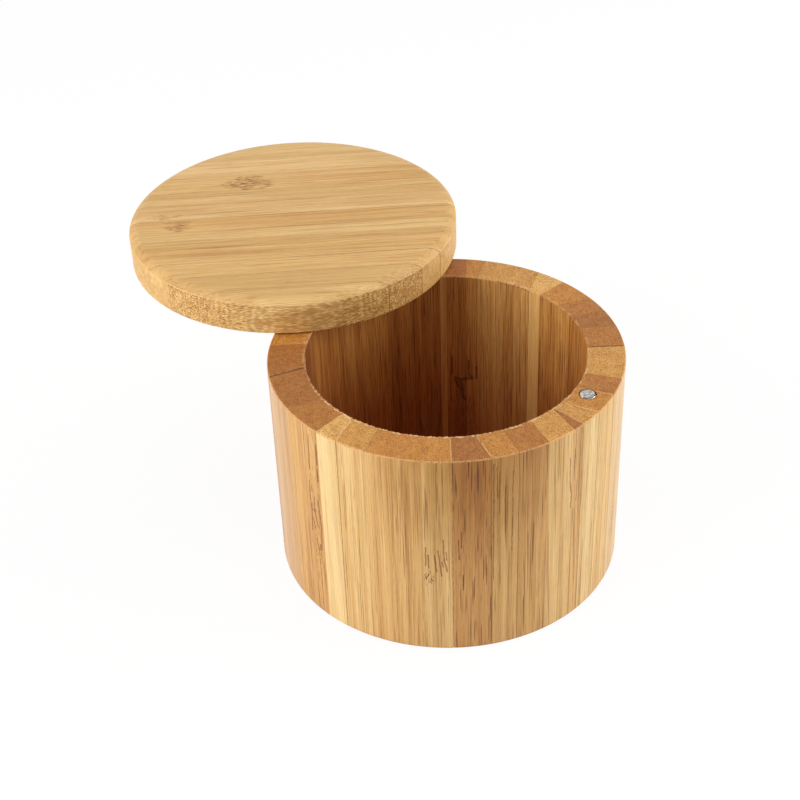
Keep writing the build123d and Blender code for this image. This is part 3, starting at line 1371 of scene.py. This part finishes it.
    def fray(self, piece: bpy.types.Object, seed: int) -> None:
        """Tear the fibres a little along the edge of the mouth, and more on the rough stave.

        Args:
            piece: The stave.
            seed: Its number, which also seeds the tearing.
        """
        torn = 1.6 if seed in self.FRONT_STAVES else 1.0
        if seed == self.ROUGH_STAVE:
            torn = 2.2
        mesh = Bench.edit(piece)
        low = self.height - 0.9 * self.mouth_ease
        Bench.pick(piece, mesh.verts, lambda vertex: vertex.co.z > low
                   and plan(vertex.co).length < self.inner_radius + 1.05 * self.mouth_ease)
        bpy.ops.transform.vertex_random(offset=self.fray_reach * torn, uniform=0.2, normal=0.0, seed=seed)
        bpy.ops.mesh.select_all(action="DESELECT")
        draw = Random(seed)
        Bench.pick(piece, mesh.verts, lambda vertex: vertex.co.z > low
                   and plan(vertex.co).length < self.inner_radius + 0.7 * self.mouth_ease
                   and draw.random() < self.tear_share * torn)
        bpy.ops.transform.vertex_random(offset=self.tear_reach * torn, uniform=0.5, normal=0.6, seed=seed + 1)
        Bench.close()
        Bench.level(piece, self.height + self.tear_rise, 1)

    @staticmethod
    def on_wall(radius: float, angle: float, height: float) -> Vector:
        """The place at this radius in metres, angle in degrees and height in millimetres."""
        return Matrix.Rotation(math.radians(angle), 3, "Z") @ Vector((radius, 0, height * MM))

    def knuckles(self, number: int) -> tuple[Knuckle, ...]:
        """The knuckles of a stave, and the stain under its splits.

        Args:
            number: Which stave it is, from 1.

        Returns:
            Its knuckles.
        """
        radius, marks = self.outer_radius, self.KNUCKLES.get(number, ())
        if number in self.SPLIT_STAVES:
            radius, marks = self.inner_radius, (self.SPLIT_STAIN,)
        return tuple(Knuckle(self.on_wall(radius, angle, height), *rest) for angle, height, *rest in marks)

    def strokes(self, number: int) -> tuple[Stroke, ...]:
        """The splits on the inside of a stave, or the dark fibres on its outside.

        Args:
            number: Which stave it is, from 1.

        Returns:
            Its strokes.
        """
        radius, marks, share = self.outer_radius, self.DARK_FIBRES.get(number, ()), 0.78
        if number in self.SPLIT_STAVES:
            radius, marks, share = self.inner_radius, self.SPLITS, 0.8
        return tuple(
            Stroke(self.on_wall(radius, angle, height), self.on_wall(radius, *end), width, share)
            for angle, height, *end, width in marks)

    def shade_zone(self) -> ShadeZone:
        """The painted brown shade under the rim."""
        angle, height, *sizes = self.SHADE_ZONE
        return ShadeZone(self.on_wall(self.outer_radius, angle, height), *sizes)

    def reaches(self, middle: Vector, centre: Vector) -> bool:
        """Whether a hole at this centre lies in the stave with this middle."""
        return (centre - middle).length < (self.outer_radius - self.inner_radius) / 2 + self.bore_margin

    def wood(self, number: int, middle: Vector) -> Bamboo:
        """The wood of one stave.

        Args:
            number: Which stave it is, from 1.
            middle: Its middle in plan.

        Returns:
            The wood.
        """
        plank = self.PLANKS[number - 1]
        lean, streak, hairs, fine, spacing = plank.grain.value
        heading = math.atan2(middle.y, middle.x)
        # Staves at the back get no painted brown shade.
        behind = abs(heading - math.pi / 2) < math.pi / 2
        return Bamboo(
            tone=plank.tone, end=plank.end, grain=Euler((0, 0, heading)), seed=self.seed + number, lean=lean,
            spacing=spacing * Random(number).uniform(0.9, 1.1), streak=streak, hairs=hairs, fine=fine,
            dots=0.8, knuckles=self.knuckles(number), strokes=self.strokes(number),
            ragged=2.4 if number == self.ROUGH_STAVE else 1.0, shade_zone=None if behind else self.shade_zone(),
            seat=self.magnet if self.reaches(middle, self.magnet) else None, cavity_shade=plank.cavity_shade,
            cavity=(self.inner_radius, self.height, self.floor))

    def stave(self, blank: bpy.types.Object, number: int) -> None:
        """Cut, drill and dress one stave.

        Args:
            blank: The stretch of wall it is cut from.
            number: Which stave it is, from 1.
        """
        node = self.names[number - 1]
        piece = Bench.copy(blank, f"{node}_bamboo")
        middle = plan(centre_of(node))
        piece.rotation_euler.z = math.atan2(middle.y, middle.x)
        Bench.settle(piece)
        for _ in range(3):
            piece.data.materials.append(None)
        lines = self.joint_lines(node)
        for point, away in lines:
            Bench.saw(piece, point, away)
        Bench.sand(piece)
        for pocket, clearance in (("pivot_pin", self.pin_clearance), ("rim_magnet", self.magnet_clearance)):
            centre = plan(centre_of(pocket))
            if self.reaches(middle, centre):
                low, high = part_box(pocket)
                seat = (high.x - low.x) / 2 + clearance
                Bench.bore(piece, seat, low.z, self.height + self.bore_overrun, centre)
        glues = [self.GLUES.get(joint, Glue.TIGHT) for joint in (number, number % len(self.names) + 1)]
        for finish, ((point, away), glue) in enumerate(zip(lines, glues), start=1):
            Bench.arris(piece, point, away, glue.value[2] * MM, finish)
        Bench.trim(piece, self.inner_radius, self.outer_radius)
        self.fray(piece, number)
        Bench.level(piece, 0.0, -1)
        Bench.sand(piece)
        Bench.fit(piece, node, self.body, self.slot, [
            self.wood(number, middle).material(f"{node}_wood"),
            *(GlueLine(glue).material(f"{node}_glue") for glue in glues)])

    def build(self) -> None:
        """Build every stave."""
        blank = self.blank()
        for number in range(1, len(self.names) + 1):
            self.stave(blank, number)
        Bench.scrap(blank)


# --------------------------------------------------------------------------- boards


@dataclass
class Board:
    """A round board glued up from strips: the lid, or the base in the foot of the wall.

    The values in dots and flecks go to the strips in order, and the last one to all the others.
    """

    body: str
    slot: str
    prefix: str
    grain_angle: float
    crest: tuple[float, float]
    foot_ease: float
    tones: tuple[Tone, ...]
    seed: int
    streak: float
    spacing: float
    hairs: float = 0.35
    fine: float = 0.7
    band: float = 2.6
    dots: tuple[float, ...] = (0.35,)
    flecks: tuple[float, ...] = (0.0,)
    knuckles: dict[int, tuple[Knuckle, ...]] = field(default_factory=dict)
    glues: dict[int, Glue] = field(default_factory=dict)
    shut: Vector | None = None
    # Where brown shade is painted on the strips' upright faces, if anywhere.
    shade_zone: ShadeZone | None = None
    pockets: dict[str, float] = field(default_factory=dict)
    sides: int = 720
    crease_ease: float = 0.14 * MM
    bore_overrun: float = 2 * MM

    def __post_init__(self) -> None:
        """Read the board's place and size from the frame."""
        self.names = nodes_named(self.prefix)
        boxes = [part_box(name) for name in self.names]
        low = Vector([min(box[0][axis] for box in boxes) for axis in range(3)])
        high = Vector([max(box[1][axis] for box in boxes) for axis in range(3)])
        self.centre = plan((low + high) / 2)
        self.radius = (high.y - low.y) / 2
        self.low, self.high = low.z, high.z
        self.across = Vector((-math.sin(self.grain_angle), math.cos(self.grain_angle), 0))

    def round_over(self, piece: bpy.types.Object, steps: int = 9) -> None:
        """Carry the top up and in on an arc, so that it meets the side at a soft crease.

        Args:
            piece: The disc, which still ends at the crease.
            steps: How many facets the arc has.
        """
        run, drop = self.crest
        sweep = 2 * math.atan2(drop, run)
        radius = run / math.sin(sweep)
        mesh = Bench.edit(piece, "FACE")
        Bench.pick(piece, mesh.faces, lambda face: face.normal.z > 0.99)
        for step in range(steps):
            start, end = (sweep * (1 - share / steps) for share in (step, step + 1))
            bpy.ops.mesh.inset(thickness=radius * (math.sin(start) - math.sin(end)))
            bpy.ops.transform.translate(value=(0, 0, radius * (math.cos(end) - math.cos(start))))
        Bench.close()
        Bench.ease_ring(piece, self.high - drop, self.crease_ease, 2)

    def blank(self) -> bpy.types.Object:
        """The whole disc with its edges rounded over.

        Returns:
            The disc, bored for what sits in it.
        """
        drop = self.crest[1]
        piece = Bench.disc(f"{self.prefix}blank", self.radius, self.low, self.high - drop, self.centre,
                           self.sides)
        if drop:
            self.round_over(piece)
        if self.foot_ease:
            Bench.ease_ring(piece, self.low, self.foot_ease, 4)
        for pocket, clearance in self.pockets.items():
            low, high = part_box(pocket)
            centre = plan((low + high) / 2)
            Bench.bore(piece, (high.x - low.x) / 2 + clearance, self.low - self.bore_overrun, high.z, centre)
        return piece

    def strip(self, blank: bpy.types.Object, number: int) -> None:
        """Cut and dress one strip.

        Args:
            blank: The disc it is cut from.
            number: Which strip it is, from 1.
        """
        node = self.names[number - 1]
        piece = Bench.copy(blank, f"{node}_bamboo")
        for _ in range(3):
            piece.data.materials.append(None)
        reaches = [vertex.co.dot(self.across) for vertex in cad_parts[node].data.vertices]
        glues = [self.glues.get(joint, Glue.TIGHT) for joint in (number - 1, number)]
        sides = []
        if number > 1:
            sides.append((self.across * min(reaches), -self.across, glues[0], 1))
        if number < len(self.names):
            sides.append((self.across * max(reaches), self.across, glues[1], 2))
        for point, away, _, _ in sides:
            Bench.saw(piece, point, away)
        Bench.sand(piece)
        for point, away, glue, finish in sides:
            Bench.arris(piece, point, away, glue.value[2] * MM, finish)
        Bench.level(piece, self.high, 1)
        Bench.sand(piece)
        Bench.fit(piece, node, self.body, self.slot, [
            self.wood(number).material(f"{node}_wood"),
            *(GlueLine(glue, self.shut).material(f"{node}_glue") for glue in glues)])

    def wood(self, number: int) -> Bamboo:
        """The wood of one strip.

        Args:
            number: Which strip it is, from 1.

        Returns:
            The wood.
        """
        draw = Random(self.seed + number)
        lie = Matrix.Rotation(self.grain_angle, 3, "Z") @ Euler((0, math.pi / 2, 0)).to_matrix()
        along = Vector((self.across.y, -self.across.x, 0))
        knuckles = tuple(
            replace(knuckle, place=self.centre + along * knuckle.place.x + self.across * knuckle.place.y
                    + Vector((0, 0, self.high)))
            for knuckle in self.knuckles.get(number, ()))
        return Bamboo(
            tone=self.tones[number - 1], end=End.DRY, grain=lie.to_euler("XYZ"), seed=self.seed + number,
            spacing=self.spacing * draw.uniform(0.9, 1.1), streak=self.streak * draw.uniform(0.75, 1.25),
            dots=self.dots[min(number, len(self.dots)) - 1],
            # On the boards the wear and painted highlight stop lower on the rounded crest.
            flecks=self.flecks[min(number, len(self.flecks)) - 1], knuckles=knuckles, worn_highlight_to=0.68,
            hairs=self.hairs, fine=self.fine, band=self.band, lean=0.7, shade_zone=self.shade_zone)

    def build(self) -> None:
        """Build every strip."""
        blank = self.blank()
        for number in range(1, len(self.names) + 1):
            self.strip(blank, number)
        Bench.scrap(blank)


def base() -> Board:
    """The base: five wide strips with plain edges.

    Returns:
        The board.
    """
    return Board(
        body="box", slot="bamboo_base", prefix="base_strip_", grain_angle=0.0, crest=(0.0, 0.0),
        foot_ease=0.0, tones=(Tone.HONEY, Tone.STRAW, Tone.TAN, Tone.HONEY, Tone.STRAW), seed=300,
        streak=0.5, spacing=0.9)


def lid() -> Board:
    """The lid: eleven strips, a rounded top edge, and pockets for the sleeve and the magnet.

    A knuckle's place is along and across the strips, from the middle of the top.

    Returns:
        The board.
    """
    knuckles = {
        6: (Knuckle(Vector((-31.0, -4.0, 0)) * MM, 2.4, 4.0, 0.4, 0.6, 0.8),
            Knuckle(Vector((-31.0, -1.0, 0)) * MM, 1.0, 4.5, 0.2, 0.5, 0.2)),
        7: (Knuckle(Vector((-35.0, 2.2, 0)) * MM, 1.8, 5.0, 0.3, 0.55, 0.5),),
        9: (Knuckle(Vector((-12.7, 18.8, 0)) * MM, 5.2, 7.5, 0.25, 0.55, 0.9),),
    }
    return Board(
        body="lid", slot="bamboo_lid", prefix="lid_strip_", grain_angle=math.radians(3.0),
        crest=(3.2 * MM, 1.5 * MM), foot_ease=0.5 * MM,
        tones=(Tone.STRAW, Tone.STRAW, Tone.BARLEY, Tone.BARLEY, Tone.STRAW, Tone.BARLEY, Tone.WHEAT,
               Tone.STRAW, Tone.BARLEY, Tone.WHEAT, Tone.STRAW),
        seed=500, streak=0.25, spacing=0.55, hairs=0.40, fine=0.6, band=4.2, dots=(0.9, 1.0, 0.2, 0.3),
        flecks=(0.8, 0.8, 0.0), knuckles=knuckles, glues={1: Glue.HAIR, 2: Glue.HAIR, 3: Glue.SEAM},
        shut=Vector((-79.0, 40.0, 64.0)) * MM,
        # Painted brown shade on the side of the lid, at the front.
        shade_zone=ShadeZone(Vector((-16.0, 15.0, 62.0)) * MM, 38.0, 16.0, 0.15),
        pockets={"pivot_sleeve": 0.02 * MM, "lid_magnet": 0.12 * MM})


# --------------------------------------------------------------------------- ironmongery


@dataclass
class Ironmongery:
    """The pivot pin, the sleeve that turns on it and the two catch magnets."""

    # The nickel's last value paints a dark reflection on the magnets' rounded edges.
    nickel: Metal = Metal((208, 203, 195), (132, 130, 124), 0.26, 1300, 0.004, 0.85)
    steel: Metal = Metal((186, 186, 188), (150, 150, 154), 0.28, 500, 0.01)
    brass: Metal = Metal((206, 172, 96), (170, 136, 70), 0.30, 700, 0.01)
    magnet_round: float = 0.48 * MM
    magnet_step: float = 0.5 * MM
    crown: float = 0.02 * MM
    pin_chamfer: float = 0.4 * MM
    sleeve_wall: float = 1.0 * MM
    sleeve_ease: float = 0.12 * MM

    def magnet(self, node: str, body: str) -> None:
        """A plated disc with rounded edges and slightly crowned faces.

        Args:
            node: The solid it stands for.
            body: The body it moves with.
        """
        low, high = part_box(node)
        piece = Bench.disc(f"{node}_disc", (high.x - low.x) / 2, low.z + self.crown, high.z - self.crown,
                           plan((low + high) / 2), 96)
        for height in (low.z + self.crown, high.z - self.crown):
            Bench.ease_ring(piece, height, self.magnet_round, 7)
        for height, lift in ((low.z + self.crown, -self.crown), (high.z - self.crown, self.crown)):
            mesh = Bench.edit(piece, "FACE")
            Bench.pick(piece, mesh.faces, lambda face: abs(face.normal.z) > 0.99
                       and abs(face.calc_center_median().z - height) < 0.01 * MM)
            for _ in range(2):
                bpy.ops.mesh.inset(thickness=self.magnet_step)
            bpy.ops.transform.translate(value=(0, 0, lift))
            Bench.close()
        Bench.sand(piece)
        Bench.fit(piece, node, body, "plated_magnet", [self.nickel.material(f"{node}_nickel")])

    def pin(self) -> None:
        """The ground pin with a chamfer at each end."""
        low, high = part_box("pivot_pin")
        piece = Bench.disc("pivot_pin_steel", (high.x - low.x) / 2, low.z, high.z, plan((low + high) / 2), 72)
        for height in (low.z, high.z):
            Bench.ease_ring(piece, height, self.pin_chamfer, 2, 0.7)
        Bench.sand(piece)
        Bench.fit(piece, "pivot_pin", "box", "steel_pin", [self.steel.material("pivot_pin_ground")])

    def sleeve(self) -> None:
        """The thin sleeve: a disc whose two faces are inset, opened and joined by a bore."""
        low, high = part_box("pivot_sleeve")
        piece = Bench.disc("pivot_sleeve_brass", (high.x - low.x) / 2, low.z, high.z,
                           plan((low + high) / 2), 96)
        mesh = Bench.edit(piece, "FACE")
        Bench.pick(piece, mesh.faces, lambda face: abs(face.normal.z) > 0.99)
        bpy.ops.mesh.inset(thickness=self.sleeve_wall)
        bpy.ops.mesh.bridge_edge_loops()
        Bench.close()
        for height in (low.z, high.z):
            Bench.ease_ring(piece, height, self.sleeve_ease, 2)
        Bench.sand(piece)
        Bench.fit(piece, "pivot_sleeve", "lid", "brass_sleeve", [self.brass.material("pivot_sleeve_turned")])

    def build(self) -> None:
        """Build every metal piece."""
        self.magnet("rim_magnet", "box")
        self.magnet("lid_magnet", "lid")
        self.pin()
        self.sleeve()


# --------------------------------------------------------------------------- studio


@dataclass
class Studio:
    """The pale floor, the soft lamps and the camera."""

    floor_size: float = 1.5
    floor_drop: float = 0.02 * MM
    camera_place: Vector = field(default_factory=lambda: Vector((-11.82, -325.34, 281.06)) * MM)
    camera_pitch: float = math.radians(36.03)
    camera_roll: float = math.radians(2.19)
    focal_length: float = 71.36
    sensor: float = 36.0
    clip_start: float = 0.01

    PAPER = ((0.86, 0.86, 0.86, 1), (0.88, 0.88, 0.88, 1))
    WHITE = (1, 1, 1, 1)
    WARM_WHITE = (1.0, 0.985, 0.96, 1)
    AIM = Vector((-0.01, 0.02, 0.04))
    LAMPS = (
        ("left_box", (-0.74, -0.33, 0.34), 0.7, 7.0),
        ("right_box", (0.80, 0.02, 0.32), 0.7, 6.7),
        ("top_box", (0.0, 0.05, 0.95), 0.8, 2.1),
    )

    def floor(self) -> None:
        """A pale floor that keeps a soft shadow and reads as white paper."""
        Bench.clear()
        bpy.ops.mesh.primitive_plane_add(size=self.floor_size, location=(0, 0, -self.floor_drop))
        piece = Bench.settle(bpy.context.active_object)
        piece.name = piece.data.name = "studio_floor"
        graph = Surface("studio_paper")
        colour = graph.blend(graph.noise(graph.place, scale=3.0), *self.PAPER)
        graph.feed(graph.shader, Base_Color=colour, Roughness=0.9, Specular_IOR_Level=0.0)
        glow = graph.node("ShaderNodeEmission")
        graph.feed(glow, Color=self.WHITE, Strength=1.02)
        graph.either(graph.times(graph.seen(), 0.9), graph.shader.outputs["BSDF"], glow.outputs[0],
                     graph.output)
        piece.data.materials.append(graph.material)

    def surround(self) -> None:
        """A white surround to look at, and a dimmer one to light by."""
        world = bpy.data.worlds.new("studio")
        bpy.context.scene.world = world
        world.use_nodes = True
        graph = Graph(world.node_tree)
        lit, shown = (graph.node("ShaderNodeBackground") for _ in range(2))
        graph.feed(lit, Color=self.WARM_WHITE, Strength=0.30)
        graph.feed(shown, Color=self.WHITE, Strength=1.0)
        graph.either(graph.seen(), lit.outputs[0], shown.outputs[0], graph.node("ShaderNodeOutputWorld"))

    def lamp(self, name: str, place: tuple[float, float, float], size: float, power: float) -> None:
        """Hang a square soft box that faces the work.

        Args:
            name: The lamp's name.
            place: Where it hangs, in metres.
            size: How wide and high it is, in metres.
            power: Its power in watts.
        """
        light = bpy.data.lights.new(name, "AREA")
        light.shape = "RECTANGLE"
        light.size = light.size_y = size
        light.energy = power
        lamp = bpy.data.objects.new(name, light)
        bpy.context.scene.collection.objects.link(lamp)
        lamp.location = place
        lamp.rotation_euler = (self.AIM - Vector(place)).to_track_quat("-Z", "Y").to_euler()

    def camera(self) -> None:
        """The camera that looks down at the box."""
        lens = bpy.data.cameras.new("camera")
        lens.lens = self.focal_length
        lens.sensor_width = self.sensor
        lens.clip_start = self.clip_start
        camera = bpy.data.objects.new("camera", lens)
        bpy.context.scene.collection.objects.link(camera)
        bpy.context.scene.camera = camera
        forward = Vector((0, math.cos(self.camera_pitch), -math.sin(self.camera_pitch)))
        right = Matrix.Rotation(self.camera_roll, 3, forward) @ Vector((1, 0, 0))
        up = right.cross(forward)
        basis = Matrix((right, up, -forward)).transposed()
        camera.matrix_world = Matrix.Translation(self.camera_place) @ basis.to_4x4()

    def build(self) -> None:
        """Set the whole studio up."""
        bpy.context.scene.view_settings.view_transform = "Standard"
        self.floor()
        self.surround()
        for lamp in self.LAMPS:
            self.lamp(*lamp)
        self.camera()


def main() -> None:
    """Build the salt box and its studio, in order."""
    logging.basicConfig(level=logging.INFO, format="%(name)s %(message)s")
    StaveWall().build()
    base().build()
    lid().build()
    Ironmongery().build()
    Studio().build()


if __name__ == "__main__":
    main()
